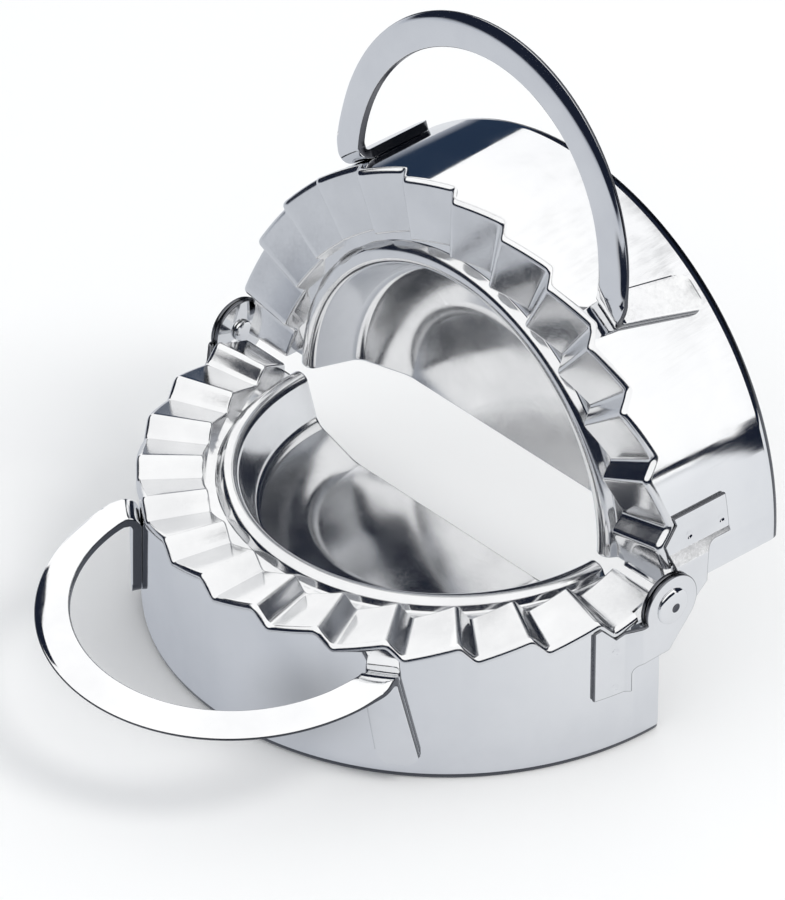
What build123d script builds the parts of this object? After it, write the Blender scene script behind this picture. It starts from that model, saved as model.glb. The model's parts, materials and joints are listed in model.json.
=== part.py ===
from build123d import *
import math
import os

os.makedirs("parts", exist_ok=True)

# All sizes are in millimetres and degrees. Each half is described as it lies
# when the press is spread flat: cutting edge at z = 0, crimp face upward, the
# hinge line along X above the origin and the half-round on the -Y side.

# Shell of one half
skirt_radius = 47.5
sheet = 0.6
crimp_level = 24.1
straight_gap = 0.4
closed_gap = 0.6
open_angle = 88.1

# Crimping facets: a slow ramp and a quick drop in every pitch
crimp_pitch = 13.28
crimp_phase = 4.7
ramp_share = 0.77
crimp_height = 2.7
crimp_width = 9.5
groove_drop = 0.4

# Rounded fold and lip of the crimp plate over the top of the skirt
fold_radius = 1.0
lip_height = 1.15
lip_thickness = 0.3
seam = 0.05

# Bead and bowl
groove_width = 2.6
bead_width = 3.9
bead_shoulder = 1.0
bead_outer_rounding = 1.4
bead_inner_rounding = 1.2
groove_rounding = 0.8
bowl_depth = 10.6
bowl_slope_run = 8.8
bowl_floor_rounding = 9.0
bowl_wall_run = 1.7
bowl_wall_depth = 7.8
bowl_wall_rounding = 3.0

# Handle: a flat bar bent to a loop, with two feet folded down
bar_width = 5.4
bar_thickness = 1.5
handle_drop = 3.7
handle_droop = 5.2
droop_rounding = 20.0
lower_bow = 28.0
upper_bow = 29.6
arm_splay = 23.0
arm_lead = 2.8
arm_length = 0.8
arm_bend = 3.2
foot_angle = 35.6
foot_bottom = 3.4
foot_flare = 1.0
foot_fold = 1.0
foot_shelf = 0.3
foot_corner = 2.6
foot_weld_height = 6.8

# Hinge brackets
plate_thickness = 0.65
strip_near_arc = 6.5
strip_width = 6.2
strip_bottom = 11.0
arm_bottom = 16.2
arm_rounding = 2.0
ear_radius = 5.2
ear_clearance = 0.25
ear_gap = 0.2
jog_length = 2.3
jog_rounding = 1.0
weld_radius = 1.5
weld_depth = 0.2
weld_arc = 9.0
weld_heights = (12.5, 19.2)

# Rivets
shaft_radius = 1.3
pin_clearance = 0.05
head_radius = 3.0
head_edge = 0.2
head_height = 0.9
tail_radius = 1.8
tail_length = 0.7
tail_gap = 0.1
relief_clearance = 0.4
relief_inset = 1.3

# Sizes that follow
hinge_height = crimp_level + closed_gap / 2
valley_level = crimp_level - crimp_height / 2
crest_level = crimp_level + crimp_height / 2
groove_level = valley_level - groove_drop
crimp_inner_radius = skirt_radius - crimp_width
bead_outer = crimp_inner_radius - groove_width
bead_inner = bead_outer - bead_width
bowl_wall_radius = bead_inner - bowl_wall_run
bowl_floor_radius = bowl_wall_radius - bowl_slope_run
lip_inside = skirt_radius + seam
lip_radius = lip_inside + lip_thickness
inner_fold = fold_radius - sheet
handle_top = crimp_level - handle_drop
handle_underside = handle_top - bar_thickness
foot_middle = lip_inside + bar_thickness / 2
shelf_end = lip_inside + bar_thickness + foot_fold + foot_shelf
upper_ear_inside = lip_radius + ear_clearance
lower_ear_inside = upper_ear_inside + plate_thickness + ear_gap
head_face = lower_ear_inside + plate_thickness
tail_face = upper_ear_inside - tail_gap
clear_height = 2 * crimp_level

half_plane = Plane(origin=(0, -straight_gap, 0), x_dir=(-1, 0, 0), z_dir=(0, 1, 0))
half_axis = Axis((0, -straight_gap, 0), (0, 0, 1))
hinge_axis = Axis((0, 0, hinge_height), (1, 0, 0))


def polar_point(radius, angle):
    """Plan position at a radius, by the angle from the middle of the half."""
    turn = math.radians(angle)
    return (radius * math.sin(turn), -straight_gap - radius * math.cos(turn))


def half_turn(profile):
    """Spin a profile drawn as (radius, height) through the half-round."""
    return revolve(half_plane * profile, half_axis, 180)


def band(inner, outer, bottom, top):
    """Half ring with square edges."""
    middle = ((inner + outer) / 2, (bottom + top) / 2)
    return half_turn(Pos(*middle) * Rectangle(outer - inner, top - bottom))


def crimp_stations(phase):
    """Angle and level of every fold line, running past both straight edges."""
    half_ramp = crimp_pitch * ramp_share / 2
    ramps = math.ceil(90 / crimp_pitch) + 1
    stations = []
    for number in range(-ramps, ramps + 1):
        middle = number * crimp_pitch + phase
        stations.append((middle - half_ramp, valley_level))
        stations.append((middle + half_ramp, crest_level))
    return stations


def space_above_crimp(phase, inner, outer, drop, fold):
    """Everything over the crimp surface, lowered by a drop and folded down outside."""
    reach = 3.0
    softening = 1 - math.sqrt(0.5)
    sections = []
    for angle, level in crimp_stations(phase):
        low = level - drop
        corners = [(inner, clear_height), (inner, low)]
        if fold > 0:
            corners.append((outer - fold, low))
            corners.append((outer - softening * fold, low - softening * fold))
            corners.append((outer, low - fold))
        corners.append((outer + reach, low - fold))
        corners.append((outer + reach, clear_height))
        points = [(*polar_point(radius, angle), height) for radius, height in corners]
        sections.append(Wire.make_polygon(points, close=True))
    return Solid.make_loft(sections, ruled=True)


def band_under_crimp(phase, inner, outer, bottom, drop, fold):
    """Half ring whose top follows the crimp, with its outer edge folded down."""
    reach = 2.0
    blank = band(inner, outer, bottom, crest_level + reach)
    return blank - space_above_crimp(phase, inner - reach, outer, drop, fold)


def hinge_relief():
    """Room at both corners for the rivet tails."""
    side = skirt_radius - relief_inset
    half_height = tail_radius + relief_clearance
    corner = Box(
        side,
        2 * ear_radius,
        clear_height,
        align=(Align.MIN, Align.CENTER, Align.MIN),
    )
    corner = Pos(side, 0, hinge_height - half_height) * corner
    return corner + mirror(corner, Plane.YZ)


def make_skirt(phase):
    """Half-round band from the cutting edge up to the crimp plate."""
    drop = sheet + inner_fold + seam
    inside = skirt_radius - sheet
    wall = band_under_crimp(phase, inside, skirt_radius, 0, drop, 0)
    return wall - hinge_relief()


def make_facets(phase):
    """Fluted ring with its inner wall, its rounded fold and its lip."""
    wall = crimp_inner_radius - sheet
    base = groove_level - sheet / 2
    spare = 1.0
    solid_ring = band_under_crimp(phase, wall, lip_radius, base, 0, fold_radius)
    hollow = band_under_crimp(
        phase, crimp_inner_radius, lip_inside, base - spare, sheet, inner_fold
    )
    below_lip = band_under_crimp(
        phase, lip_inside, lip_radius + spare, base - spare, lip_height, 0
    )
    return solid_ring - hollow - below_lip


def make_pan():
    """Groove, bead and half bowl, pressed from the sheet."""
    half_sheet = sheet / 2
    middle_groove = groove_level - half_sheet
    middle_bead = crimp_level - half_sheet
    points = [
        (crimp_inner_radius - half_sheet, middle_groove),
        (bead_outer, middle_groove),
        (bead_outer - bead_shoulder, middle_bead),
        (bead_inner + bead_shoulder, middle_bead),
        (bowl_wall_radius, middle_bead - bowl_wall_depth),
        (bowl_floor_radius, middle_bead - bowl_depth),
        (0, middle_bead - bowl_depth),
    ]
    roundings = [
        groove_rounding,
        bead_outer_rounding,
        bead_inner_rounding,
        bowl_wall_rounding,
        bowl_floor_rounding,
    ]
    path = FilletPolyline(*points, radius=roundings)
    return half_turn(trace(path, sheet))


def make_crimp_plate(phase):
    """Stamped plate: facets outside, bead and bowl inside."""
    return make_facets(phase) + make_pan() - hinge_relief()


def loop_plan(bow):
    """Plan of the bar from one foot to the other, round the bow."""
    splay = math.radians(arm_splay)
    start_x, start_y = polar_point(foot_middle, foot_angle)
    arm_x = start_x + arm_lead * math.sin(splay)
    corner_y = start_y - arm_lead * math.cos(splay)
    bow_y = corner_y - arm_length
    points = [(start_x, start_y), (arm_x, corner_y), (arm_x, bow_y)]
    arm = FilletPolyline(*points, radius=arm_bend)
    curve = EllipticalCenterArc((0, bow_y), arm_x, bow, 180, arc_size=180)
    path = Wire.combine(arm.edges() + curve.edges() + mirror(arm, Plane.YZ).edges())[0]
    return trace(path, bar_width)


def loop_slab(bow):
    """Layer the bar lies in: level at the feet, then drooping outward."""
    middle = handle_top - bar_thickness / 2
    turn_y = polar_point(shelf_end, foot_angle)[1] - bar_width / 2
    run = 2 * bow
    fall = run * math.tan(math.radians(handle_droop))
    points = [(0, middle), (turn_y, middle), (turn_y - run, middle - fall)]
    path = FilletPolyline(*points, radius=droop_rounding)
    side_view = Plane(origin=(0, 0, 0), x_dir=(0, 1, 0), z_dir=(1, 0, 0))
    return extrude(side_view * trace(path, bar_thickness), skirt_radius, both=True)


def make_loop(bow):
    """Flat loop of bar between the two folds."""
    bar = extrude(loop_plan(bow), clear_height) & loop_slab(bow)
    core = Pos(0, -straight_gap, crimp_level) * Cylinder(shelf_end, clear_height)
    return bar - core


def foot_section():
    """Section of a foot: down the skirt, and folded outward at the top."""
    spare = 0.5
    shelf_middle = handle_top - bar_thickness / 2
    points = [
        (foot_middle, foot_bottom),
        (foot_middle, shelf_middle),
        (shelf_end + spare, shelf_middle),
    ]
    path = FilletPolyline(*points, radius=foot_fold + bar_thickness / 2)
    beyond = Pos(shelf_end + spare, shelf_middle) * Rectangle(2 * spare, 2 * bar_thickness)
    return trace(path, bar_thickness) - beyond


def make_foot():
    """Right-hand foot, slanting toward the hinge on its way down."""
    splay = math.radians(arm_splay)
    slant = math.tan(math.radians(foot_angle - arm_splay))
    straight_level = handle_underside - foot_fold
    shift = (straight_level - foot_bottom) * slant
    half = bar_width / 2
    outline = Polygon(
        (-half, handle_top + half),
        (-half, straight_level),
        (shift - half - foot_flare, foot_bottom),
        (shift + half, foot_bottom),
        (half, straight_level),
        (half, handle_top + half),
        align=None,
    )
    outline = fillet(outline.vertices().sort_by(Axis.Y)[:2], foot_corner)
    across = (math.cos(splay), math.sin(splay), 0)
    outward = (math.sin(splay), -math.cos(splay), 0)
    start = polar_point(foot_middle, foot_angle)
    plane = Plane(origin=(*start, 0), x_dir=across, z_dir=outward)
    strip = extrude(plane * outline, amount=bar_width, both=True)
    foot = half_turn(foot_section()) & strip
    weld_shift = (straight_level - foot_weld_height) * slant
    weld_turn = foot_angle + math.degrees(weld_shift / skirt_radius)
    return foot - weld_dimple(lip_inside + bar_thickness, weld_turn, foot_weld_height)


def weld_dimple(radius, angle, height):
    """Ball that leaves a shallow spot-weld mark in a curved face."""
    centre = polar_point(radius + weld_radius - weld_depth, angle)
    return Pos(*centre, height) * Sphere(weld_radius)


def make_handle(bow):
    """Loop and both feet in one piece of bar."""
    foot = make_foot()
    return make_loop(bow) + foot + mirror(foot, Plane.YZ)


def strip_edges():
    """Angles of the two upright edges of a bracket's strip."""
    near = 90 - math.degrees(strip_near_arc / skirt_radius)
    return near, near - math.degrees(strip_width / skirt_radius)


def bracket_plan(ear_inside):
    """Plan of a right-hand bracket: round the skirt, outward, then straight."""
    middle = lip_inside + plate_thickness / 2
    near, far = strip_edges()
    turn_point = (3 * near + far) / 4
    ear_x = ear_inside + plate_thickness / 2
    bend_x, bend_y = polar_point(middle, turn_point)
    lead = math.radians(turn_point)
    length = (polar_point(middle, near)[1] - bend_y) / 2
    jog_x = bend_x + length * math.cos(lead)
    jog_y = bend_y + length * math.sin(lead)
    wrap = CenterArc((0, -straight_gap), middle, far - 90, turn_point - far)
    run = FilletPolyline(
        (bend_x, bend_y),
        (jog_x, jog_y),
        (ear_x, jog_y + jog_length),
        (ear_x, 2 * ear_radius),
        radius=jog_rounding,
    )
    path = Wire.combine(wrap.edges() + run.edges())[0]
    return extrude(trace(path, plate_thickness), clear_height)


def arm_outline():
    """Side view of a bracket's upright strip and arm, open at the top."""
    middle = lip_inside + plate_thickness / 2
    near, far = strip_edges()
    near_y = polar_point(middle, near)[1]
    far_y = polar_point(middle, far)[1]
    fall = hinge_height - arm_bottom
    distance = math.hypot(straight_gap, fall)
    heading = math.atan2(-fall, -straight_gap)
    spread = math.acos(ear_radius / distance)
    touch = (
        ear_radius * math.cos(heading + spread),
        hinge_height + ear_radius * math.sin(heading + spread),
    )
    outline = Polygon(
        (far_y, strip_bottom),
        (near_y, strip_bottom),
        (near_y, arm_bottom),
        (-straight_gap, arm_bottom),
        touch,
        (0, hinge_height),
        (0, clear_height),
        (far_y, clear_height),
        align=None,
    )
    inner_corner = outline.vertices().sort_by_distance((near_y, arm_bottom))[0]
    return fillet(inner_corner, arm_rounding)


def make_bracket(ear_inside, side, phase):
    """Hinge bracket with its ear at the given X: side 1 is right, -1 is left."""
    side_view = Plane(origin=(0, 0, 0), x_dir=(0, 1, 0), z_dir=(1, 0, 0))
    ear_view = Plane(origin=(0, 0, hinge_height), x_dir=(0, 1, 0), z_dir=(1, 0, 0))
    width = 2 * skirt_radius
    bent = bracket_plan(ear_inside)
    arm = bent & extrude(side_view * arm_outline(), width)
    ear = bent & extrude(ear_view * Circle(ear_radius), width)
    if side < 0:
        arm = mirror(arm, Plane.YZ)
        ear = mirror(ear, Plane.YZ)
    inner = skirt_radius - sheet
    top = space_above_crimp(phase, inner, head_face, lip_height + seam, 0)
    bracket = (arm - top) + ear
    bore = extrude(ear_view * Circle(shaft_radius + pin_clearance), width, both=True)
    weld_turn = 90 - math.degrees(weld_arc / skirt_radius)
    for height in weld_heights:
        bracket -= weld_dimple(lip_inside + plate_thickness, side * weld_turn, height)
    return bracket - bore


def dome_middle(rim_x, rim_radius, height):
    """Point half-way along a domed end, between its rim and its tip."""
    size = abs(height)
    ball = (rim_radius**2 + size**2) / (2 * size)
    half_turn_angle = math.asin(rim_radius / ball) / 2
    along = size - ball + ball * math.cos(half_turn_angle)
    return (rim_x + math.copysign(along, height), ball * math.sin(half_turn_angle))


def make_rivet():
    """Right-hand rivet: domed head outside, small domed tail inside."""
    dome_x = head_face + head_edge
    dome_height = head_height - head_edge
    tail_edge = tail_length / 2
    tail_x = tail_face - tail_edge
    tip = (dome_x + dome_height, 0)
    end = (tail_x - tail_edge, 0)
    edges = [
        Polyline(
            (tail_x, tail_radius),
            (tail_face, tail_radius),
            (tail_face, shaft_radius),
            (head_face, shaft_radius),
            (head_face, head_radius),
            (dome_x, head_radius),
        ),
        ThreePointArc(
            (dome_x, head_radius), dome_middle(dome_x, head_radius, dome_height), tip
        ),
        Line(tip, end),
        ThreePointArc(
            end, dome_middle(tail_x, tail_radius, -tail_edge), (tail_x, tail_radius)
        ),
    ]
    plane = Plane(origin=(0, 0, hinge_height), x_dir=(1, 0, 0), z_dir=(0, -1, 0))
    return revolve(plane * make_face(edges), hinge_axis, 360)


def as_upper(half):
    """Turn a half end for end, then swing it up to its resting angle."""
    return half.rotate(Axis.Z, 180).rotate(hinge_axis, open_angle)


# The crimp is shifted the opposite way on the upper half, so the halves nest.
lower = crimp_phase
upper = -crimp_phase
rivet = make_rivet()

nodes = {
    "lower_skirt": make_skirt(lower),
    "lower_crimp_plate": make_crimp_plate(lower),
    "lower_handle": make_handle(lower_bow),
    "lower_bracket_right": make_bracket(lower_ear_inside, 1, lower),
    "lower_bracket_left": make_bracket(lower_ear_inside, -1, lower),
    "upper_skirt": as_upper(make_skirt(upper)),
    "upper_crimp_plate": as_upper(make_crimp_plate(upper)),
    "upper_handle": as_upper(make_handle(upper_bow)),
    "upper_bracket_left": as_upper(make_bracket(upper_ear_inside, 1, upper)),
    "upper_bracket_right": as_upper(make_bracket(upper_ear_inside, -1, upper)),
    "hinge_rivet_right": rivet,
    "hinge_rivet_left": mirror(rivet, Plane.YZ),
}

# The origin is the middle of the whole press in plan, at the cutting edge.
spans = [shape.bounding_box() for shape in nodes.values()]
front = min(span.min.Y for span in spans)
rear = max(span.max.Y for span in spans)
middle_y = (front + rear) / 2
for name, shape in nodes.items():
    export_step(Pos(0, -middle_y, 0) * shape, f"parts/{name}.step")

print("hinge at y", round(-middle_y, 4), "z", hinge_height)
print("overall depth", round(rear - front, 3))
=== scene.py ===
import bmesh
import bpy
import json
import math
from mathutils import Matrix, Vector
from mathutils.bvhtree import BVHTree


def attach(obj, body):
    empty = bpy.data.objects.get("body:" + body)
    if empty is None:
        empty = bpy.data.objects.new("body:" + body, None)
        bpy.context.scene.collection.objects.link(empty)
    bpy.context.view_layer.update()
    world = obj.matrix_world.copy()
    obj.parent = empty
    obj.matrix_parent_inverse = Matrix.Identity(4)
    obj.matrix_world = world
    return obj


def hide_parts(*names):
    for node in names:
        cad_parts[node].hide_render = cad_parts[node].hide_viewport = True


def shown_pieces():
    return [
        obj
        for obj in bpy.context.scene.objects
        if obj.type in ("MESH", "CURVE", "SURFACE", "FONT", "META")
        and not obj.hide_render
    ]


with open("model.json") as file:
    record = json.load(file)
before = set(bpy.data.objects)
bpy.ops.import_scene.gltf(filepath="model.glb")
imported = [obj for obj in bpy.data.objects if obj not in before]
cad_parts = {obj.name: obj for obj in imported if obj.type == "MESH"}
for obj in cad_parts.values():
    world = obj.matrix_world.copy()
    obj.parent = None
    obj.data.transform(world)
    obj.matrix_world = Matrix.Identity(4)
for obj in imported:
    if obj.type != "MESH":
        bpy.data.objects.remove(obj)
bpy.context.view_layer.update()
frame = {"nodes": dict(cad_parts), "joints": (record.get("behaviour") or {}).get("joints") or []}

# Lengths are millimetres and angles degrees while a piece is shaped. A half is
# shaped as it lies when the press is spread flat, hinge line along X, and then
# carried to its place in metres.
hinge = frame["joints"][0]
hingeY = hinge["pos_m"][1] * 1000
hingeZ = hinge["pos_m"][2] * 1000
openAngle = -hinge["range_deg"][0]

# Finishes: one bright stainless steel, drawn, pressed or tumbled differently
finishSettings = {
    "skirt_steel": {
        "colour": (0.86, 0.866, 0.88),
        "dull": (0.79, 0.80, 0.82),
        "roughness": (0.035, 0.09),
        "ripple": 0.00003,
        "rippleScale": 70,
        "grain": (40, 40, 900),
        "grainDepth": 0.0000008,
    },
    "plate_steel": {
        "colour": (0.84, 0.844, 0.85),
        "dull": (0.75, 0.755, 0.765),
        "roughness": (0.10, 0.19),
        "ripple": 0.00002,
        "rippleScale": 90,
        "grain": (500, 500, 500),
        "grainDepth": 0.000001,
    },
    "handle_steel": {
        "colour": (0.88, 0.884, 0.89),
        "dull": (0.81, 0.815, 0.83),
        "roughness": (0.04, 0.10),
        "ripple": 0.00002,
        "rippleScale": 110,
        "grain": (300, 300, 300),
        "grainDepth": 0.0000008,
    },
    "bracket_steel": {
        "colour": (0.86, 0.865, 0.875),
        "dull": (0.78, 0.785, 0.80),
        "roughness": (0.06, 0.14),
        "ripple": 0.000015,
        "rippleScale": 160,
        "grain": (400, 400, 400),
        "grainDepth": 0.0000008,
    },
    "rivet_steel": {
        "colour": (0.88, 0.884, 0.89),
        "dull": (0.82, 0.825, 0.835),
        "roughness": (0.04, 0.09),
        "ripple": 0.00001,
        "rippleScale": 300,
        "grain": (600, 600, 600),
        "grainDepth": 0.0000006,
    },
}


# What all the finishes share: noise scales per metre, and the stretch of each noise
# over which a look changes
steelPattern = {
    "stainScale": 55,  # slow changes from polishing and handling
    "stainRange": (0.34, 0.62),
    "rubbedColour": (0.88, 0.885, 0.89),  # edges rubbed brighter
    "rubbedRange": (0.51, 0.62),
    "paintedDarkColour": (0.10, 0.104, 0.118),  # painted dark: shade and dark reflections painted on sheared and ground edges, which are also duller
    "cutRoughness": 0.16,
    "grainScale": 4,
    "blotchScale": 140,
    "blotchRange": (0.15, 0.36),
}


def addNode(tree, kind, values=None, **options):
    # a shader node with its options, then the values of its sockets
    node = tree.nodes.new("ShaderNode" + kind)
    for option, choice in options.items():
        setattr(node, option, choice)
    for socket, value in (values or {}).items():
        node.inputs[socket].default_value = value
    return node


def rampStops(ramp, places, colours=None):
    for number, stop in enumerate(ramp.color_ramp.elements):
        stop.position = places[number]
        if colours:
            stop.color = (*colours[number], 1)


def brightSteel(name, settings):
    material = bpy.data.materials.new(name)
    material.use_nodes = True
    tree = material.node_tree
    link = tree.links.new
    shader = tree.nodes["Principled BSDF"]
    shader.inputs["Metallic"].default_value = 1.0
    place = addNode(tree, "TexCoord")
    cut = addNode(tree, "Attribute", attribute_name="cutAndPaintedDark")

    # colour: stained and clean metal, rubbed edges, and cut edges painted dark as painted shade
    # and reflection
    stain = addNode(tree, "TexNoise", {
        "Scale": steelPattern["stainScale"], "Detail": 4, "Roughness": 0.6,
    })
    link(place.outputs["Object"], stain.inputs["Vector"])
    tint = addNode(tree, "ValToRGB")
    rampStops(tint, steelPattern["stainRange"], (settings["dull"], settings["colour"]))
    link(stain.outputs["Fac"], tint.inputs["Fac"])
    wear = addNode(tree, "NewGeometry")
    edge = addNode(tree, "ValToRGB")
    rampStops(edge, steelPattern["rubbedRange"])
    link(wear.outputs["Pointiness"], edge.inputs["Fac"])
    rubbed = addNode(tree, "Mix", {"B": (*steelPattern["rubbedColour"], 1)}, data_type="RGBA")
    link(edge.outputs["Color"], rubbed.inputs["Factor"])
    link(tint.outputs["Color"], rubbed.inputs["A"])
    shearedPaintedDark = addNode(tree, "Mix", {"B": (*steelPattern["paintedDarkColour"], 1)}, data_type="RGBA")
    link(cut.outputs["Fac"], shearedPaintedDark.inputs["Factor"])
    link(rubbed.outputs["Result"], shearedPaintedDark.inputs["A"])
    link(shearedPaintedDark.outputs["Result"], shader.inputs["Base Color"])

    # roughness: fine polishing grain in larger blotches, and more on cut edges
    stretch = addNode(tree, "Mapping", {"Scale": settings["grain"]})
    link(place.outputs["Object"], stretch.inputs["Vector"])
    grain = addNode(tree, "TexNoise", {
        "Scale": steelPattern["grainScale"], "Detail": 6, "Roughness": 0.7,
    })
    link(stretch.outputs["Vector"], grain.inputs["Vector"])
    blotch = addNode(tree, "TexNoise", {"Scale": steelPattern["blotchScale"], "Detail": 5})
    link(place.outputs["Object"], blotch.inputs["Vector"])
    both = addNode(tree, "Math", operation="MULTIPLY")
    link(blotch.outputs["Fac"], both.inputs[0])
    link(grain.outputs["Fac"], both.inputs[1])
    rough = addNode(tree, "MapRange", {
        "From Min": steelPattern["blotchRange"][0],
        "From Max": steelPattern["blotchRange"][1],
        "To Min": settings["roughness"][0],
        "To Max": settings["roughness"][1],
    })
    link(both.outputs["Value"], rough.inputs["Value"])
    duller = addNode(tree, "Math", {1: steelPattern["cutRoughness"]}, operation="MULTIPLY_ADD")
    link(cut.outputs["Fac"], duller.inputs[0])
    link(rough.outputs["Result"], duller.inputs[2])
    link(duller.outputs["Value"], shader.inputs["Roughness"])

    # surface: slight ripple left by the press tool, with the grain on it
    wave = addNode(tree, "TexNoise", {"Scale": settings["rippleScale"], "Detail": 1})
    link(place.outputs["Object"], wave.inputs["Vector"])
    ripple = addNode(tree, "Bump", {"Strength": 1, "Distance": settings["ripple"]})
    link(wave.outputs["Fac"], ripple.inputs["Height"])
    scratch = addNode(tree, "Bump", {"Strength": 1, "Distance": settings["grainDepth"]})
    link(grain.outputs["Fac"], scratch.inputs["Height"])
    link(ripple.outputs["Normal"], scratch.inputs["Normal"])
    link(scratch.outputs["Normal"], shader.inputs["Normal"])
    return material


finishes = {name: brightSteel(name, values) for name, values in finishSettings.items()}
print("finishes ready")


# Sizes that the pieces of a half share
half = {
    "skirtRadius": 47.5,
    "sheet": 0.6,
    "seam": 0.05,  # between the skirt and what lies on its outside
    "crimpLevel": 24.1,
    "straightGap": 0.4,
    "pitch": 13.28,
    "phase": 4.7,
    "rampShare": 0.77,
    "crimpHeight": 2.7,
    "foldSoftness": 0.7,  # half the width of a softened fold line, degrees
    "stepAngle": 0.75,
    "sharpAngle": 50,  # edges that turn more than this are softened
}
lipInside = half["skirtRadius"] + half["seam"]


def halfWord(upper):
    return "upper" if upper else "lower"


def crimpPhase(upper):
    # shifted the opposite way on the upper half, so that the halves nest
    return -half["phase"] if upper else half["phase"]


def planPoint(radius, angle):
    turn = math.radians(angle)
    return Vector((radius * math.sin(turn), -half["straightGap"] - radius * math.cos(turn)))


def foldLines(phase):
    # angle and level of each valley and crest, past both straight edges
    halfRamp = half["pitch"] * half["rampShare"] / 2
    ramps = math.ceil(90 / half["pitch"]) + 1
    lines = []
    for number in range(-ramps, ramps + 1):
        middle = number * half["pitch"] + phase
        lines.append((middle - halfRamp, -half["crimpHeight"] / 2))
        lines.append((middle + halfRamp, half["crimpHeight"] / 2))
    return lines


def crimpLift(angle, phase):
    # height of the crimp face over its middle level, with softened folds
    lines = foldLines(phase)
    for first, second in zip(lines, lines[1:]):
        if first[0] <= angle <= second[0]:
            share = (angle - first[0]) / (second[0] - first[0])
            lift = first[1] + (second[1] - first[1]) * share
            near = first if share < 0.5 else second
            distance = abs(angle - near[0])
            if distance < half["foldSoftness"]:
                ramp = half["crimpHeight"] / (half["pitch"] * half["rampShare"])
                drop = half["crimpHeight"] / (half["pitch"] * (1 - half["rampShare"]))
                side = -1 if near[1] > 0 else 1
                gap = half["foldSoftness"] - distance
                lift += side * (ramp + drop) * gap ** 2 / (4 * half["foldSoftness"])
            return lift
    return 0.0


def sweepAngles(phase):
    # angles of the sections: close together at every fold line
    soft = half["foldSoftness"]
    angles = [-90.0, 90.0]
    for line, level in foldLines(phase):
        angles += [line + soft * share for share in (-1, -0.5, 0, 0.5, 1)]
    inside = 90 - half["stepAngle"]
    angles = sorted(angle for angle in angles if abs(angle) < inside or abs(angle) == 90)
    full = [angles[0]]
    for angle in angles[1:]:
        steps = max(1, round((angle - full[-1]) / half["stepAngle"]))
        start = full[-1]
        full += [start + (angle - start) * step / steps for step in range(1, steps + 1)]
    return full


def cornerArc(centre, radius, start, end, steps):
    # points of an arc between two angles
    turns = [math.radians(start + (end - start) * step / steps) for step in range(steps + 1)]
    return [
        (centre[0] + radius * math.cos(turn), centre[1] + radius * math.sin(turn))
        for turn in turns
    ]


def roundedLine(points, radii, spacing):
    # the middle line of bent sheet: points joined by arcs, with the way it heads
    points = [Vector(point) for point in points]
    line = [(points[0], (points[1] - points[0]).normalized())]
    for before, corner, after, radius in zip(points, points[1:], points[2:], radii):
        inward = (corner - before).normalized()
        outward = (after - corner).normalized()
        turn = inward.angle_signed(outward)
        lead = radius * math.tan(abs(turn) / 2)
        side = -1 if turn > 0 else 1
        start = corner - inward * lead
        centre = start + Vector((-inward.y, inward.x)) * radius * side
        steps = max(3, math.ceil(radius * abs(turn) / spacing))
        for step in range(steps + 1):
            swing = Matrix.Rotation(-turn * step / steps, 2)
            line.append((centre + swing @ (start - centre), swing @ inward))
    line.append((points[-1], (points[-1] - points[-2]).normalized()))
    return line


def toWorld(bm, upper):
    # from millimetres in the flat half to metres in the open press
    hingePoint = Vector((0, hingeY, hingeZ))
    place = Matrix.Translation((0, hingeY, 0))
    if upper:
        swing = Matrix.Rotation(math.radians(openAngle), 4, "X")
        about = Matrix.Translation(hingePoint) @ swing @ Matrix.Translation(-hingePoint)
        place = about @ place @ Matrix.Rotation(math.pi, 4, "Z")
    bmesh.ops.transform(bm, matrix=Matrix.Scale(0.001, 4) @ place, verts=bm.verts)


def evenNormals(piece):
    # keep broad faces true beside their narrow softened edges
    weighted = piece.modifiers.new("evenNormals", "WEIGHTED_NORMAL")
    weighted.mode = "FACE_AREA"
    weighted.weight = 50
    weighted.keep_sharp = True


def addPiece(bm, name, node, finish, sharpAngle=35):
    # hand over a finished mesh: smooth shading, body, node it stands for, slot
    mesh = bpy.data.meshes.new(name)
    bm.to_mesh(mesh)
    bm.free()
    mesh.shade_smooth()
    mesh.set_sharp_from_angle(angle=math.radians(sharpAngle))
    piece = bpy.data.objects.new(name, mesh)
    bpy.context.scene.collection.objects.link(piece)
    piece.data.materials.append(finishes[finish])
    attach(piece, "upper_half" if node.startswith("upper") else "lower_half")
    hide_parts(node)
    return piece


def benchObject(bm):
    # a passing object, so that a modifier can work on a mesh
    mesh = bpy.data.meshes.new("bench")
    bm.to_mesh(mesh)
    bm.free()
    bench = bpy.data.objects.new("bench", mesh)
    bpy.context.scene.collection.objects.link(bench)
    return bench


def takeBack(bench):
    # the mesh as its modifiers leave it, and the passing object gone
    graph = bpy.context.evaluated_depsgraph_get()
    bm = bmesh.new()
    bm.from_object(bench, graph)
    bpy.data.objects.remove(bench)
    return bm


def cutAway(bm, shapes):
    # take the closed shapes out of a mesh
    bench = benchObject(bm)
    cutter = benchObject(shapes)
    cut = bench.modifiers.new("cut", "BOOLEAN")
    cut.operation = "DIFFERENCE"
    cut.solver = "EXACT"
    cut.object = cutter
    bm = takeBack(bench)
    bpy.data.objects.remove(cutter)
    return bm


def sharpEdges(bm):
    limit = math.radians(half["sharpAngle"])
    return [
        edge
        for edge in bm.edges
        if len(edge.link_faces) == 2 and edge.calc_face_angle(0) > limit
    ]


def softenEdges(bm, edges, width, segments):
    # round the edges and give back the faces that round them
    return bmesh.ops.bevel(
        bm, geom=edges, offset=width, offset_type="OFFSET", segments=segments,
        profile=0.5, affect="EDGES", material=-1, clamp_overlap=False,
    )["faces"]


def markCutPaintedDark(bm, isPaintedDark):
    # give the faces that pass the test a cut edge's duller roughness and a painted dark colour,
    # which stands for shade and dark reflections
    mark = bm.faces.layers.float.get("cutAndPaintedDark") or bm.faces.layers.float.new("cutAndPaintedDark")
    for face in bm.faces:
        if isPaintedDark(face):
            face[mark] = 1


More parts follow.
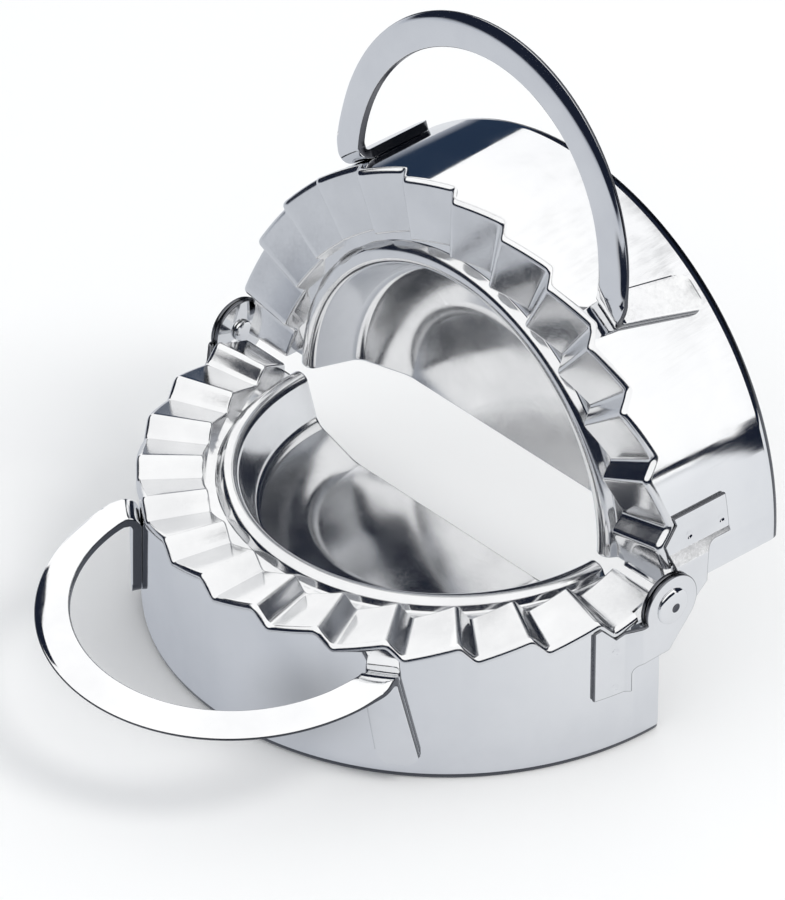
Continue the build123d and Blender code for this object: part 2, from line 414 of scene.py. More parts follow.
def markSheetEdges(bm, thickness):
    # cut edges are the faces with more metal behind them than the sheet is thick; they get the
    # painted dark of a reflection
    bm.normal_update()
    tree = BVHTree.FromBMesh(bm)

    def isPaintedDark(face):
        start = face.calc_center_median() - face.normal * thickness * 0.001
        distance = tree.ray_cast(start, -face.normal)[3]
        return distance and distance > 1.15 * thickness

    markCutPaintedDark(bm, isPaintedDark)


def withShare(line, share):
    # points of a section that follow the crimp by a share of its lift
    return [(radius, height, share) for radius, height in line]


def spinHalf(section, phase):
    # turn a section of (radius, height, share of the crimp) through the half-round;
    # a None in the section is a gap in its outline
    bm = bmesh.new()
    share = bm.verts.layers.float.new("crimpShare")
    angles = sweepAngles(phase)
    verts = []
    for corner in section:
        if corner is None:
            verts.append(None)
            continue
        spot = planPoint(corner[0], angles[0])
        vert = bm.verts.new((spot.x, spot.y, corner[1]))
        vert[share] = corner[2]
        verts.append(vert)
    pairs = zip(verts, verts[1:] + verts[:1])
    line = [bm.edges.new(pair) for pair in pairs if None not in pair]
    centre = (0, -half["straightGap"], 0)
    geometry = bm.verts[:] + line
    for first, second in zip(angles, angles[1:]):
        turned = bmesh.ops.spin(
            bm, geom=geometry, cent=centre, axis=(0, 0, 1),
            angle=math.radians(second - first), steps=1, use_merge=False,
        )
        geometry = turned["geom_last"]
    for vert in bm.verts:
        if vert[share] > 0:
            angle = math.degrees(math.atan2(vert.co.x, -(vert.co.y + half["straightGap"])))
            vert.co.z += vert[share] * crimpLift(min(90, max(-90, angle)), phase)
        if abs(vert.co.y + half["straightGap"]) < 0.01:
            vert.co.y = -half["straightGap"]
    return bm


def openEdges(bm):
    return [edge for edge in bm.edges if len(edge.link_faces) == 1]


def straightEnds(bm):
    # edges round the flat cut faces on the hinge side
    level = -half["straightGap"]
    return [
        edge
        for edge in sharpEdges(bm)
        if all(abs(vert.co.y - level) < 1e-3 for vert in edge.verts)
    ]


# Skirts: half-round band that is the cutting edge
skirt = {
    "bottomRounding": 0.16,
    "hemDraw": 0.38,  # the cutting edge draws in a little
    "hemRows": (1.7, 1.3, 0.95, 0.6, 0.35),  # heights, from where the hem starts
    "paintedShadeHeight": 0.8,  # faces of the cutting edge below this are painted dark, a painted line of shade, and duller
    "endRounding": 0.14,
    "topDrop": 1.05,  # under the crimp face
}


def skirtSection():
    outer = half["skirtRadius"]
    inner = outer - half["sheet"]
    soft = skirt["bottomRounding"]
    draw = skirt["hemDraw"]
    rise = skirt["hemRows"][0]
    hem = [(draw * (1 - height / rise) ** 2, height) for height in skirt["hemRows"]]
    line = [(outer - inset, height) for inset, height in hem]
    line += cornerArc((outer - draw - soft, soft), soft, 0, -90, 3)
    line += cornerArc((inner - draw + soft, soft), soft, -90, -180, 3)
    line += [(inner - inset, height) for inset, height in reversed(hem)]
    top = half["crimpLevel"] - skirt["topDrop"]
    return withShare(line, 0) + [(inner, top, 1), (outer, top, 1)]


relief = {
    "side": 46.2,  # from here outward
    "bottom": 22.2,  # and from here up
    "size": (20, 10.4, 30),
}


def cutRelief(bm):
    # room at both corners for the rivet tails
    shapes = bmesh.new()
    width, depth, height = relief["size"]
    for side in (-1, 1):
        corner = bmesh.ops.create_cube(shapes, size=1)["verts"]
        bmesh.ops.scale(shapes, vec=relief["size"], verts=corner)
        middle = (side * (relief["side"] + width / 2), 0, relief["bottom"] + height / 2)
        bmesh.ops.translate(shapes, vec=middle, verts=corner)
    return cutAway(bm, shapes)


def makeSkirt(upper):
    bm = spinHalf(skirtSection(), crimpPhase(upper))
    bmesh.ops.holes_fill(bm, edges=openEdges(bm), sides=0)
    bmesh.ops.recalc_face_normals(bm, faces=bm.faces)
    softenEdges(bm, straightEnds(bm), skirt["endRounding"], 2)
    bm = cutRelief(bm)
    # the bottom of the cutting edge is painted dark: a painted line of shade
    markCutPaintedDark(bm, lambda face: face.calc_center_median().z < skirt["paintedShadeHeight"])
    toWorld(bm, upper)
    word = halfWord(upper)
    return addPiece(bm, word + "Skirt", word + "_skirt", "skirt_steel")


# Crimp plates: fluted facets, groove, bead and half bowl pressed from one sheet
plate = {
    "facetInside": 37.4,
    "facetRounding": 0.45,
    "foldRadius": 1.0,
    "lipHeight": 1.15,
    "lipThickness": 0.3,
    "facetRows": (44.0, 41.0),  # radii of the lines along the facets
    "grooveLevel": 22.35,
    "grooveOutside": 37.7,
    "grooveInside": 35.4,
    "beadOutside": 34.4,
    "beadInside": 32.5,
    "wallFoot": (29.8, 7.8),  # radius and depth under the bead
    "floorEdge": (21.0, 10.6),
    "roundings": (0.8, 1.4, 1.2, 3.0, 9.0),  # from the groove to the bowl's floor
    "endRounding": 0.14,
    "arcSpacing": 0.22,
}


def panLine():
    # middle line of the sheet from the facets to the centre of the bowl
    sheet = half["sheet"] / 2
    groove = plate["grooveLevel"] - sheet
    bead = half["crimpLevel"] - sheet
    wallRadius, wallDepth = plate["wallFoot"]
    floorRadius, floorDepth = plate["floorEdge"]
    points = [(plate["grooveOutside"], groove), (plate["grooveInside"], groove)]
    points += [(plate["beadOutside"], bead), (plate["beadInside"], bead)]
    points += [(wallRadius, bead - wallDepth), (floorRadius, bead - floorDepth)]
    points.append((0, bead - floorDepth))
    return roundedLine(points, plate["roundings"], plate["arcSpacing"])


def plateSection():
    level = half["crimpLevel"]
    lipEnd = level - plate["lipHeight"]
    outer = lipInside + plate["lipThickness"]
    fold = plate["foldRadius"]
    thin = fold - half["sheet"]
    inside = plate["facetInside"]
    soft = plate["facetRounding"]
    above = [(outer, lipEnd)] + cornerArc((outer - fold, level - fold), fold, 0, 90, 8)
    above += [(radius, level) for radius in plate["facetRows"]]
    above += cornerArc((inside + soft, level - soft), soft, 90, 180, 4)
    below = [(inside + half["sheet"], level - half["sheet"])]
    below += cornerArc((lipInside - thin, level - fold), thin, 90, 0, 3)
    below.append((lipInside, lipEnd))
    middle = half["sheet"] / 2
    pan = [(place, Vector((ahead.y, -ahead.x)) * middle) for place, ahead in panLine()]
    panTop = [(inside, plate["grooveLevel"])]
    panTop += [tuple(place + offset) for place, offset in pan[1:-1]]
    panUnder = [tuple(place - offset) for place, offset in reversed(pan[1:-1])]
    panUnder.append((inside + half["sheet"], (pan[0][0] - pan[0][1]).y))
    section = withShare(above, 1) + withShare(panTop, 0) + [None]
    return section + withShare(panUnder, 0) + withShare(below, 1)


def closeFloor(bm):
    # flat floor of the bowl above and below, then the cut face along the hinge side
    level = -half["straightGap"]
    rims = {}
    ends = []
    for edge in openEdges(bm):
        if all(abs(vert.co.y - level) < 1e-4 for vert in edge.verts):
            ends.append(edge)
        else:
            rims.setdefault(round(edge.verts[0].co.z, 3), []).append(edge)
    for rim in rims.values():
        corners = {vert for edge in rim for vert in edge.verts}
        corners = [vert for vert in corners if abs(vert.co.y - level) < 1e-4]
        chord = bm.edges.new(sorted(corners, key=lambda vert: vert.co.x))
        bmesh.ops.contextual_create(bm, geom=rim + [chord])
        ends.append(chord)
    bmesh.ops.contextual_create(bm, geom=ends)


def makePlate(upper):
    bm = spinHalf(plateSection(), crimpPhase(upper))
    closeFloor(bm)
    bmesh.ops.recalc_face_normals(bm, faces=bm.faces)
    softenEdges(bm, straightEnds(bm), plate["endRounding"], 2)
    bm = cutRelief(bm)
    toWorld(bm, upper)
    word = halfWord(upper)
    return addPiece(bm, word + "CrimpPlate", word + "_crimp_plate", "plate_steel")


# Handles: flat bar bent round in a loop, both ends folded down the skirt
handle = {
    "barWidth": 5.4,
    "barThickness": 1.5,
    "topDrop": 3.7,
    "droop": 5.2,
    "droopRounding": 20.0,
    "lowerBow": 27.87,
    "upperBow": 29.53,
    "splay": 23.0,
    "lead": 2.8,
    "armLength": 0.8,
    "armBend": 3.2,
    "footAngle": 35.6,
    "footBottom": 3.4,
    "footFlare": 1.0,
    "footFold": 1.0,
    "footShelf": 0.3,  # level part beyond the fold
    "footCorner": 2.6,
    "cutterReach": 6.0,  # of the corner cutters, each way through the bar
    "cutterSpare": 1.0,  # and round the outside of the corner
    "edgeRounding": 0.28,
    "crownFall": 0.15,  # how far the top face falls away to its outer edge
    "rimFall": 0.7,  # and how much more beside that edge
    "rimStart": 0.4,  # share of the width at which the rim's fall begins
    "crownRows": 15,  # rows over which the crown grows from the fold
    "columns": (-2.7, -1.9, -1.1, -0.4, 0.2, 0.7, 1.2, 1.7, 2.2, 2.7),  # across the bar
    "footRows": 4,  # and the rows along each stretch of it
    "foldRows": 9,
    "armRows": 8,
    "bowRows": 56,
}
footMiddle = lipInside + handle["barThickness"] / 2
barMiddle = half["crimpLevel"] - handle["topDrop"] - handle["barThickness"] / 2
straightLevel = barMiddle - handle["barThickness"] / 2 - handle["footFold"]
foldRadius = handle["footFold"] + handle["barThickness"] / 2
footSlant = math.tan(math.radians(handle["footAngle"] - handle["splay"]))
footShift = (straightLevel - handle["footBottom"]) * footSlant  # sideways, top to bottom
bendLead = handle["armBend"] * math.tan(math.radians(handle["splay"] / 2))
bendLength = handle["armBend"] * math.radians(handle["splay"])


def heading(angle):
    # ways along and across the bar in plan, turned from straight ahead
    turn = math.radians(angle)
    return Vector((math.sin(turn), -math.cos(turn))), Vector((math.cos(turn), math.sin(turn)))


def armPlace(along, across):
    # plan of the arm: straight out from the foot, then bent to run straight ahead
    splay = handle["splay"]
    outward, sideways = heading(splay)
    start = planPoint(footMiddle, handle["footAngle"])
    straight = handle["lead"] - bendLead
    spot = start + outward * min(along, straight)
    if along <= straight:
        return spot + sideways * across
    centre = spot - sideways * handle["armBend"]
    turned = min(splay, math.degrees((along - straight) / handle["armBend"]))
    ahead, sideways = heading(splay - turned)
    spot = centre + sideways * handle["armBend"]
    spot += ahead * max(0, along - straight - bendLength)
    return spot + sideways * across


def alongTo(radius, across):
    # how far along the foot's line a strip of the bar reaches a radius
    outward, sideways = heading(handle["splay"])
    start = planPoint(footMiddle, handle["footAngle"]) + sideways * across
    start.y += half["straightGap"]
    ahead = start.dot(outward)
    return -ahead + math.sqrt(ahead ** 2 + radius ** 2 - start.length_squared)


def droopFall(y):
    # how far the bar hangs under its level end at a place in plan
    droop = math.radians(handle["droop"])
    shelfEnd = handle["footFold"] + handle["footShelf"]
    turnY = planPoint(lipInside + handle["barThickness"] + shelfEnd, handle["footAngle"]).y
    beyond = turnY - handle["barWidth"] / 2 - y
    reach = handle["droopRounding"] * math.tan(droop / 2)
    if beyond <= -reach:
        return 0.0
    if beyond < reach:
        return (beyond + reach) ** 2 * math.tan(droop) / (4 * reach)
    return beyond * math.tan(droop)


def barPlace(row, across, bow):
    # a point of the bar's middle sheet, counted in rows up from the foot's end
    wide = handle["barWidth"] / 2
    outward, sideways = heading(handle["splay"])
    if row <= handle["footRows"]:
        share = 1 - row / handle["footRows"]
        z = straightLevel - (straightLevel - handle["footBottom"]) * share
        flare = handle["footFlare"] * (wide - across) / (2 * wide)
        shifted = across + share * (footShift - flare)
        start = planPoint(footMiddle, handle["footAngle"]) + sideways * shifted
        spot = start + outward * alongTo(footMiddle, shifted)
        return Vector((spot.x, spot.y, z))
    row -= handle["footRows"]
    foldEnd = footMiddle + foldRadius
    if row <= handle["foldRows"]:
        turn = math.pi / 2 * row / handle["foldRows"]
        along = alongTo(foldEnd - foldRadius * math.cos(turn), across)
        spot = armPlace(along, across)
        return Vector((spot.x, spot.y, straightLevel + foldRadius * math.sin(turn)))
    row -= handle["foldRows"]
    armEnd = handle["lead"] - bendLead + bendLength
    if row <= handle["armRows"]:
        share = row / handle["armRows"]
        spot = armPlace(alongTo(foldEnd, across) * (1 - share) + armEnd * share, across)
        return Vector((spot.x, spot.y, barMiddle - droopFall(spot.y)))
    row -= handle["armRows"]
    centre = armPlace(armEnd + handle["armLength"] - bendLead, 0)
    turn = math.pi / 2 * (row - 1) / (handle["bowRows"] - 1)
    spot = Vector((centre.x * math.cos(turn), centre.y - bow * math.sin(turn)))
    side = Vector((bow * math.cos(turn), -centre.x * math.sin(turn))).normalized()
    spot += side * across
    return Vector((spot.x, spot.y, barMiddle - droopFall(spot.y)))


def footCorners():
    # what comes off both feet to round their lower corners
    shapes = bmesh.new()
    radius = handle["footCorner"]
    wide = handle["barWidth"] / 2
    bottom = handle["footBottom"]
    reach = handle["cutterReach"]
    spare = handle["cutterSpare"]
    outward, sideways = heading(handle["splay"])
    start = planPoint(footMiddle, handle["footAngle"]) - outward * reach
    for edge, side in ((footShift + wide, 1), (footShift - wide - handle["footFlare"], -1)):
        arc = cornerArc((edge - side * radius, bottom + radius), radius, 0, -90, 8)
        if side < 0:
            arc = [(2 * (edge + radius) - across, z) for across, z in arc]
        clear = edge + side * spare
        outline = [(clear, bottom + radius)] + arc
        outline += [(edge - side * radius, bottom - spare), (clear, bottom - spare)]
        spots = [(start + sideways * across, z) for across, z in outline]
        face = shapes.faces.new([shapes.verts.new((spot.x, spot.y, z)) for spot, z in spots])
        grown = bmesh.ops.extrude_face_region(shapes, geom=[face])["geom"]
        moved = [item for item in grown if isinstance(item, bmesh.types.BMVert)]
        bmesh.ops.translate(shapes, vec=(*outward * 2 * reach, 0), verts=moved)
    whole = shapes.verts[:] + shapes.edges[:] + shapes.faces[:]
    copied = bmesh.ops.duplicate(shapes, geom=whole)["geom"]
    copied = [item for item in copied if isinstance(item, bmesh.types.BMVert)]
    bmesh.ops.scale(shapes, vec=(-1, 1, 1), verts=copied)
    bmesh.ops.recalc_face_normals(shapes, faces=shapes.faces)
    # the corner faces that the cutters leave are painted dark: a painted reflection
    markCutPaintedDark(shapes, lambda face: True)
    return shapes


def barSheet(bow):
    # middle sheet of the bar, both sides, with what each point needs later
    rows = handle["footRows"] + handle["foldRows"] + handle["armRows"] + handle["bowRows"]
    columns = len(handle["columns"]) - 1
    bm = bmesh.new()
    bmesh.ops.create_grid(bm, x_segments=columns, y_segments=rows, size=0.5)
    sidePlace = bm.verts.layers.float.new("sidePlace")
    pastFold = bm.verts.layers.float.new("pastFold")
    for vert in bm.verts:
        row = round((vert.co.y + 0.5) * rows)
        across = handle["columns"][round((vert.co.x + 0.5) * columns)]
        vert.co = barPlace(row, across, bow)
        vert[sidePlace] = across
        beyond = row - handle["footRows"] - handle["foldRows"]
        grown = min(1, max(0, beyond / handle["crownRows"]))
        vert[pastFold] = grown ** 2 * (3 - 2 * grown)
        if row == rows:
            vert.co.x = 0
    whole = bm.verts[:] + bm.edges[:] + bm.faces[:]
    bmesh.ops.mirror(bm, geom=whole, axis="X", merge_dist=0.001)
    bmesh.ops.remove_doubles(bm, verts=bm.verts, dist=0.001)
    bmesh.ops.recalc_face_normals(bm, faces=bm.faces)
    return bm


def crownBar(bm):
    # the top face falls away to the outer edge, more and more past the fold
    sidePlace = bm.verts.layers.float.get("sidePlace")
    pastFold = bm.verts.layers.float.get("pastFold")
    width = handle["barWidth"]
    for vert in bm.verts:
        if vert[pastFold] > 0 and vert.co.z > barMiddle - droopFall(vert.co.y):
            share = (vert[sidePlace] + width / 2) / width
            rim = max(0, (share - handle["rimStart"]) / (1 - handle["rimStart"]))
            fall = handle["crownFall"] * share ** 2 + handle["rimFall"] * rim ** 2
            vert.co.z -= vert[pastFold] * fall


def makeHandle(upper):
    bench = benchObject(barSheet(handle["upperBow"] if upper else handle["lowerBow"]))
    solid = bench.modifiers.new("thickness", "SOLIDIFY")
    solid.thickness = handle["barThickness"]
    solid.offset = 0
    solid.use_even_offset = True
    bm = takeBack(bench)
    bmesh.ops.recalc_face_normals(bm, faces=bm.faces)
    sidePlace = bm.verts.layers.float.get("sidePlace")
    rim = handle["barWidth"] / 2 - 0.001
    # the bar's side faces are painted dark: a painted reflection
    markCutPaintedDark(bm, lambda face: all(abs(vert[sidePlace]) > rim for vert in face.verts))
    crownBar(bm)
    softenEdges(bm, sharpEdges(bm), handle["edgeRounding"], 4)
    bm = cutAway(bm, footCorners())
    toWorld(bm, upper)
    word = halfWord(upper)
    return addPiece(bm, word + "Handle", word + "_handle", "handle_steel")


# Hinge brackets: the source's own shape with its cut edges softened and painted dark as a
# painted reflection
bracket = {
    "sheet": 0.65,
    "edgeRounding": 0.16,
    "edgePaintedDark": 0.85,  # how strongly the rounding of a cut edge is painted dark, a painted reflection
    "flatAngle": 0.4,  # faces nearer than this to one plane are joined
    "smoothUpTo": 30,
}


def makeBracket(node, name):
    bm = bmesh.new()
    bm.from_mesh(frame["nodes"][node].data)
    bmesh.ops.remove_doubles(bm, verts=bm.verts, dist=1e-7)
    limit = math.radians(bracket["flatAngle"])
    bmesh.ops.dissolve_limit(bm, angle_limit=limit, verts=bm.verts, edges=bm.edges)
    # cut edges and the roundings that soften them are painted dark: a painted reflection
    markSheetEdges(bm, bracket["sheet"] / 1000)
    mark = bm.faces.layers.float["cutAndPaintedDark"]
    for face in softenEdges(bm, sharpEdges(bm), bracket["edgeRounding"] / 1000, 2):
        face[mark] = bracket["edgePaintedDark"]
    return addPiece(bm, name, node, "bracket_steel", bracket["smoothUpTo"])


# Rivets: domed head outside, small tail inside
rivet = {
    "headFace": 49.6,
    "headRadius": 3.0,
    "headEdge": 0.1,
    "headHeight": 0.9,
    "shaftRadius": 1.3,
    "tailFace": 48.0,
    "tailRadius": 1.8,
    "tailLength": 0.7,
    "rimRounding": 0.1,
    "dimpleRadius": 1.1,
    "dimpleDepth": 0.3,
    "dimplePaintedDark": 0.8,  # radius of its middle that is painted dark, a painted reflection, and duller
    "headRows": 24,
    "tailRows": 6,
    "turns": 72,
}


def domeLine(rimX, rimRadius, height, steps):
    # oval dome from its rim to the middle, as (x, radius)
    turns = [math.pi / 2 * step / steps for step in range(steps + 1)]
    return [(rimX + height * math.sin(turn), rimRadius * math.cos(turn)) for turn in turns]


def dimpleSink(radius):
    # soft mark of the riveting tool in the middle of the head
    inside = max(0, 1 - (radius / rivet["dimpleRadius"]) ** 2)
    return rivet["dimpleDepth"] * inside ** 2


def inDimple(spot, side):
    reach = math.hypot(spot.y, spot.z - hingeZ)
    return spot.x * side > rivet["headFace"] and reach < rivet["dimplePaintedDark"]


def rivetSection():
    # half outline from the middle of the head to the middle of the tail
    face = rivet["headFace"]
    back = rivet["tailFace"]
    shaft = rivet["shaftRadius"]
    height = rivet["headHeight"] - rivet["headEdge"]
    dome = domeLine(face + rivet["headEdge"], rivet["headRadius"], height, rivet["headRows"])
    tailEdge = rivet["tailLength"] / 2
    tail = domeLine(back - tailEdge, rivet["tailRadius"], -tailEdge, rivet["tailRows"])
    section = [(x - dimpleSink(radius), radius) for x, radius in reversed(dome)]
    section += [(face, rivet["headRadius"]), (face, shaft)]
    section += [(back, shaft), (back, rivet["tailRadius"])]
    return section + tail


def makeRivet(side):
    bm = bmesh.new()
    verts = [bm.verts.new((side * x, 0, hingeZ + radius)) for x, radius in rivetSection()]
    line = [bm.edges.new(pair) for pair in zip(verts, verts[1:])]
    bmesh.ops.spin(
        bm, geom=verts + line, cent=(0, 0, hingeZ), axis=(1, 0, 0),
        angle=2 * math.pi, steps=rivet["turns"], use_merge=True,
    )
    bmesh.ops.remove_doubles(bm, verts=bm.verts, dist=0.0005)
    bmesh.ops.recalc_face_normals(bm, faces=bm.faces)
    bmesh.ops.dissolve_degenerate(bm, dist=0.001, edges=bm.edges)
    # the middle of the dimple is painted dark: a painted reflection
    markCutPaintedDark(bm, lambda face: inDimple(face.calc_center_median(), side))
    softenEdges(bm, sharpEdges(bm), rivet["rimRounding"], 3)
    toWorld(bm, False)
    word = "right" if side > 0 else "left"
    return addPiece(bm, "rivet_" + word, "hinge_rivet_" + word, "rivet_steel")


# Every piece, once for each half or each end of the hinge
for upper in (False, True):
    makeSkirt(upper)
    makePlate(upper)
    makeHandle(upper)
print("skirts, crimp plates and handles ready")

for word in ("lower", "upper"):
    for end in ("right", "left"):
        makeBracket(word + "_bracket_" + end, word + "Bracket_" + end)
for side in (1, -1):
    makeRivet(side)
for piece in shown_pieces():
    evenNormals(piece)
print("hinges ready")


# Camera: a long lens from the front right, looking down, in millimetres and degrees
viewPoint = {
    "azimuth": 47.70,
    "elevation": 36.0,
    "roll": -0.114,
    "lens": 322.2,
    "distance": 1242.7,
    "aim": (0, 0, 20.652),  # measured from the hinge line in plan
    "slide": (-8.653, 4.948),
    "sees": (0.05, 50),  # nearest and farthest, in metres
}
turned = Matrix.Rotation(math.radians(viewPoint["azimuth"]), 4, "Z")
turned @= Matrix.Rotation(math.radians(90 - viewPoint["elevation"]), 4, "X")
turned @= Matrix.Rotation(math.radians(viewPoint["roll"]), 4, "Z")
aim = Vector(viewPoint["aim"]) + Vector((0, hingeY, 0))
back = turned @ Vector((*viewPoint["slide"], viewPoint["distance"]))
camera = bpy.data.objects.new("camera", bpy.data.cameras.new("camera"))
bpy.context.scene.collection.objects.link(camera)
camera.matrix_world = Matrix.Translation((aim + back) * 0.001) @ turned
camera.data.lens = viewPoint["lens"]
camera.data.clip_start, camera.data.clip_end = viewPoint["sees"]
bpy.context.scene.camera = camera


# Floor, studio light and dark flags, in metres
studio = {
    "floorSize": 8.0,
    "floorColour": (0.965, 0.965, 0.965),
    "paperTone": (0.50, 0.53, 0.59, 1),
    "paperShare": (0.34, 0.75),  # how much of that tone the metal sees, behind and in front
    "paperSide": (-0.6, -1.0, 0),  # which way is in front
    "paperTurn": (-0.08, 0.05),  # and where the one share goes over to the other
    # a painted dark patch in front and a painted shade under the handle, both seen only in the
    # metal: middle, size, strength and the share of the size that is even
    "darkPatches": (
        ((0.15, -0.31), (0.19, 0.22), 1, 0.75),
        ((0.017, -0.036), (0.024, 0.016), 0.55, 0),
    ),
    "navyTone": (0.02, 0.036, 0.07, 1),
    "darkTone": (0.012, 0.016, 0.03, 1),
    "skyLight": 0.86,
    "skyColour": (0.965, 0.982, 1.0),
    "overhead": 1.16,  # the sky's strength in the metal
    "keyPlace": (1.15, 0.55, 1.5),
    "keySize": 0.8,
    "keyPower": 12.0,
    "keyColour": (1.0, 0.985, 0.96),
}
# Dark cloths round the press. Between the two heights of its fade a cloth goes from
# the floor's tone to its own, and an unfaded one does so out of sight.
unfaded = (-2, -1.5)
backFlag = {"distance": 1.0, "radius": 1.2, "height": 0.05, "turns": 96}
frontFlag = {
    "distance": 1.5,
    "heights": (-0.1, 1.0),
    "reach": 205,  # degrees round the press
    "steps": 60,
    "fade": (0.04, 0.12),
}
sideFlags = {  # upright sheets: where each plane stands, its outline as (across, up)
    "leftFlag": {
        "plane": -0.25,
        "tone": "navyTone",
        "fade": (-0.01, 0.04),
        "outline": (
            (0.165, 0.0), (0.28, 0.0), (0.28, 0.14), (0.235, 0.143),
            (0.225, 0.153), (0.216, 0.165), (0.165, 0.165),
        ),
    },
    "rightFlag": {
        "plane": 0.25,
        "tone": "darkTone",
        "fade": unfaded,
        "outline": (
            (0.16, 0.052), (0.187, 0.045), (0.1955, 0.024), (0.199, 0.010), (0.23, 0.0),
            (0.23, 0.062), (0.2015, 0.062), (0.1965, 0.047), (0.193, 0.057), (0.16, 0.06),
        ),
    },
    "rivetFlag": {
        "plane": 0.25,
        "tone": "darkTone",
        "fade": unfaded,
        "outline": ((0.0, 0.025), (0.158, 0.025), (0.158, 0.13), (0.0, 0.16)),
    },
}


def stagePiece(name, bm, material):
    mesh = bpy.data.meshes.new(name)
    bm.to_mesh(mesh)
    bm.free()
    sheet = bpy.data.objects.new(name, mesh)
    bpy.context.scene.collection.objects.link(sheet)
    sheet.data.materials.append(material)
    return sheet


def larger(tree, first, second):
    node = addNode(tree, "Math", operation="MAXIMUM")
    tree.links.new(first, node.inputs[0])
    tree.links.new(second, node.inputs[1])
    return node.outputs["Value"]


def patchShade(tree, place, middle, size, strength, even):
    # an oval patch on the floor with a soft edge
    fit = addNode(tree, "Mapping", {
        "Location": (-middle[0] / size[0], -middle[1] / size[1], 0),
        "Scale": (1 / size[0], 1 / size[1], 0),
    })
    tree.links.new(place.outputs["Object"], fit.inputs["Vector"])
    away = addNode(tree, "VectorMath", operation="LENGTH")
    tree.links.new(fit.outputs["Vector"], away.inputs[0])
    patch = addNode(
        tree, "MapRange", {"From Min": 1.0, "From Max": even, "To Max": strength},
        interpolation_type="SMOOTHSTEP",
    )
    tree.links.new(away.outputs["Value"], patch.inputs["Value"])
    return patch.outputs["Result"]


def floorPaper():
    # white to the eye, greyer in the metal: a painted shade of the floor, with painted dark
    # patches, that only reflections show
    material = bpy.data.materials.new("floorPaper")
    material.use_nodes = True
    tree = material.node_tree
    link = tree.links.new
    shader = tree.nodes["Principled BSDF"]
    shader.inputs["Base Color"].default_value = (*studio["floorColour"], 1)
    shader.inputs["Roughness"].default_value = 0.9
    shader.inputs["Specular IOR Level"].default_value = 0.1
    place = addNode(tree, "TexCoord")
    side = addNode(tree, "VectorMath", {1: studio["paperSide"]}, operation="DOT_PRODUCT")
    link(place.outputs["Object"], side.inputs[0])
    share = addNode(
        tree, "MapRange",
        {
            "From Min": studio["paperTurn"][0], "From Max": studio["paperTurn"][1],
            "To Min": studio["paperShare"][0], "To Max": studio["paperShare"][1],
        },
        interpolation_type="SMOOTHSTEP",
    )
    link(side.outputs["Value"], share.inputs["Value"])
    shades = [patchShade(tree, place, *patch) for patch in studio["darkPatches"]]
    shade = shades[0]
    for other in shades[1:]:
        shade = larger(tree, shade, other)
    ray = addNode(tree, "LightPath")
    both = addNode(tree, "Math", operation="MULTIPLY")
    link(larger(tree, share.outputs["Result"], shade), both.inputs[0])
    link(ray.outputs["Is Glossy Ray"], both.inputs[1])
    tone = addNode(
        tree, "Mix", {"A": studio["paperTone"], "B": studio["darkTone"]}, data_type="RGBA"
    )
    link(shade, tone.inputs["Factor"])
    dark = addNode(tree, "Emission")
    link(tone.outputs["Result"], dark.inputs["Color"])
    mix = addNode(tree, "MixShader")
    link(both.outputs["Value"], mix.inputs["Fac"])
    link(shader.outputs["BSDF"], mix.inputs[1])
    link(dark.outputs["Emission"], mix.inputs[2])
    link(mix.outputs["Shader"], tree.nodes["Material Output"].inputs["Surface"])
    return material


def flagCloth(fade, cloth):
    # dark cloth, in the floor's tone at its foot
    material = bpy.data.materials.new("flagCloth")
    material.use_nodes = True
    tree = material.node_tree
    link = tree.links.new
    place = addNode(tree, "TexCoord")
    split = addNode(tree, "SeparateXYZ")
    link(place.outputs["Object"], split.inputs["Vector"])
    rise = addNode(tree, "MapRange", {"From Min": fade[0], "From Max": fade[1]})
    link(split.outputs["Z"], rise.inputs["Value"])
    tone = addNode(
        tree, "Mix", {"A": studio["paperTone"], "B": studio[cloth]}, data_type="RGBA"
    )
    link(rise.outputs["Result"], tone.inputs["Factor"])
    dark = addNode(tree, "Emission")
    link(tone.outputs["Result"], dark.inputs["Color"])
    link(dark.outputs["Emission"], tree.nodes["Material Output"].inputs["Surface"])
    return material


def layFloor():
    bm = bmesh.new()
    bmesh.ops.create_grid(bm, x_segments=1, y_segments=1, size=studio["floorSize"] / 2)
    stagePiece("floor", bm, floorPaper())


def hangFlag(name, bm, fade, cloth):
    # only the metal sees it
    flag = stagePiece(name, bm, flagCloth(fade, cloth))
    flag.visible_camera = False
    flag.visible_diffuse = False
    flag.visible_transmission = False
    flag.visible_shadow = False


def hangBackFlag():
    bm = bmesh.new()
    bmesh.ops.create_circle(
        bm, cap_ends=True, segments=backFlag["turns"], radius=backFlag["radius"]
    )
    upright = Matrix.Rotation(math.pi / 2, 3, "X")
    bmesh.ops.rotate(bm, cent=(0, 0, 0), matrix=upright, verts=bm.verts)
    place = (0, backFlag["distance"], backFlag["height"])
    bmesh.ops.translate(bm, vec=place, verts=bm.verts)
    hangFlag("backFlag", bm, unfaded, "darkTone")


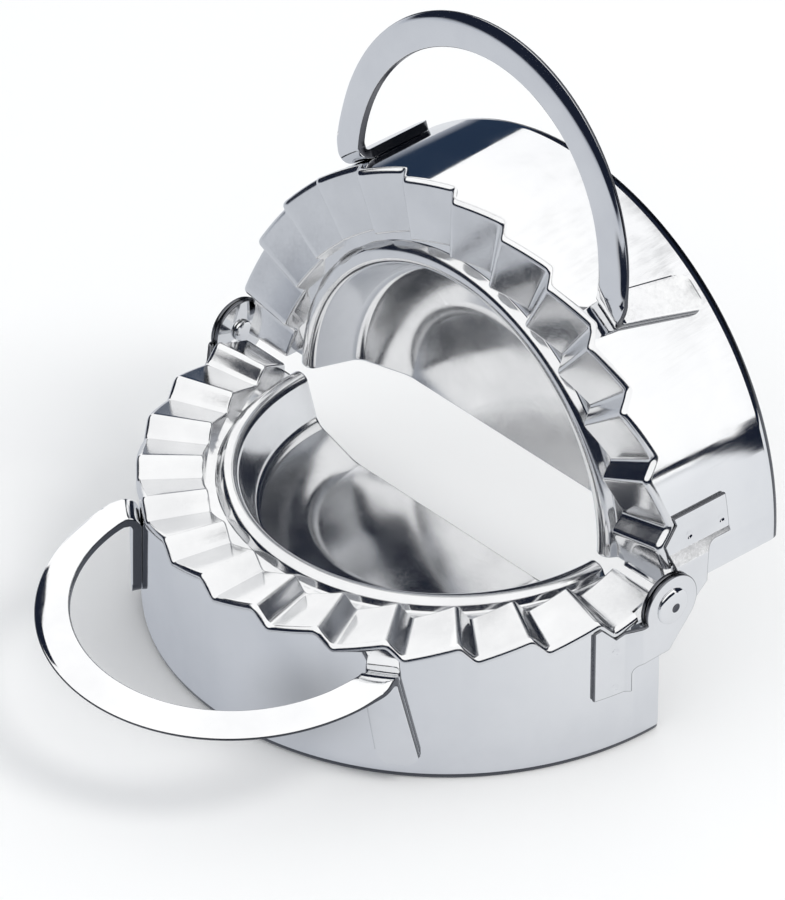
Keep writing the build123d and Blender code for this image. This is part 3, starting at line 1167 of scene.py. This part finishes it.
def hangFrontFlag():
    reach = math.radians(frontFlag["reach"])
    bm = bmesh.new()
    ends = [bm.verts.new((0, -frontFlag["distance"], z)) for z in frontFlag["heights"]]
    start = Matrix.Rotation(-reach / 2, 3, "Z")
    bmesh.ops.rotate(bm, cent=(0, 0, 0), matrix=start, verts=ends)
    upright = bm.edges.new(ends)
    bmesh.ops.spin(
        bm, geom=ends + [upright], cent=(0, 0, 0), axis=(0, 0, 1),
        angle=reach, steps=frontFlag["steps"], use_merge=False,
    )
    hangFlag("frontFlag", bm, frontFlag["fade"], "darkTone")


def hangSideFlags():
    for name, flag in sideFlags.items():
        bm = bmesh.new()
        bm.faces.new([bm.verts.new((flag["plane"], *spot)) for spot in flag["outline"]])
        hangFlag(name, bm, flag["fade"], flag["tone"])


def studioWorld():
    # plain white all round, a little stronger in the metal
    world = bpy.data.worlds.new("studio")
    world.use_nodes = True
    tree = world.node_tree
    link = tree.links.new
    soft = tree.nodes["Background"]
    soft.inputs["Color"].default_value = (*studio["skyColour"], 1)
    soft.inputs["Strength"].default_value = studio["skyLight"]
    white = (1, 1, 1, 1)
    mirrored = addNode(tree, "Background", {"Color": white, "Strength": studio["overhead"]})
    plain = addNode(tree, "Background", {"Color": white})
    ray = addNode(tree, "LightPath")
    inMetal = addNode(tree, "MixShader")
    link(ray.outputs["Is Glossy Ray"], inMetal.inputs["Fac"])
    link(soft.outputs["Background"], inMetal.inputs[1])
    link(mirrored.outputs["Background"], inMetal.inputs[2])
    seen = addNode(tree, "MixShader")
    link(ray.outputs["Is Camera Ray"], seen.inputs["Fac"])
    link(inMetal.outputs["Shader"], seen.inputs[1])
    link(plain.outputs["Background"], seen.inputs[2])
    link(seen.outputs["Shader"], tree.nodes["World Output"].inputs["Surface"])
    bpy.context.scene.world = world


def keyLight():
    # soft lamp from behind on the right, aimed at the press
    lamp = bpy.data.lights.new("keyLight", "AREA")
    lamp.shape = "DISK"
    lamp.size = studio["keySize"]
    lamp.energy = studio["keyPower"]
    lamp.color = studio["keyColour"]
    light = bpy.data.objects.new("keyLight", lamp)
    bpy.context.scene.collection.objects.link(light)
    light.location = studio["keyPlace"]
    light.rotation_euler = (-light.location).to_track_quat("-Z", "Y").to_euler()
    light.visible_glossy = False


layFloor()
hangBackFlag()
hangFrontFlag()
hangSideFlags()
studioWorld()
keyLight()
bpy.context.scene.view_settings.view_transform = "Standard"
print("studio ready")
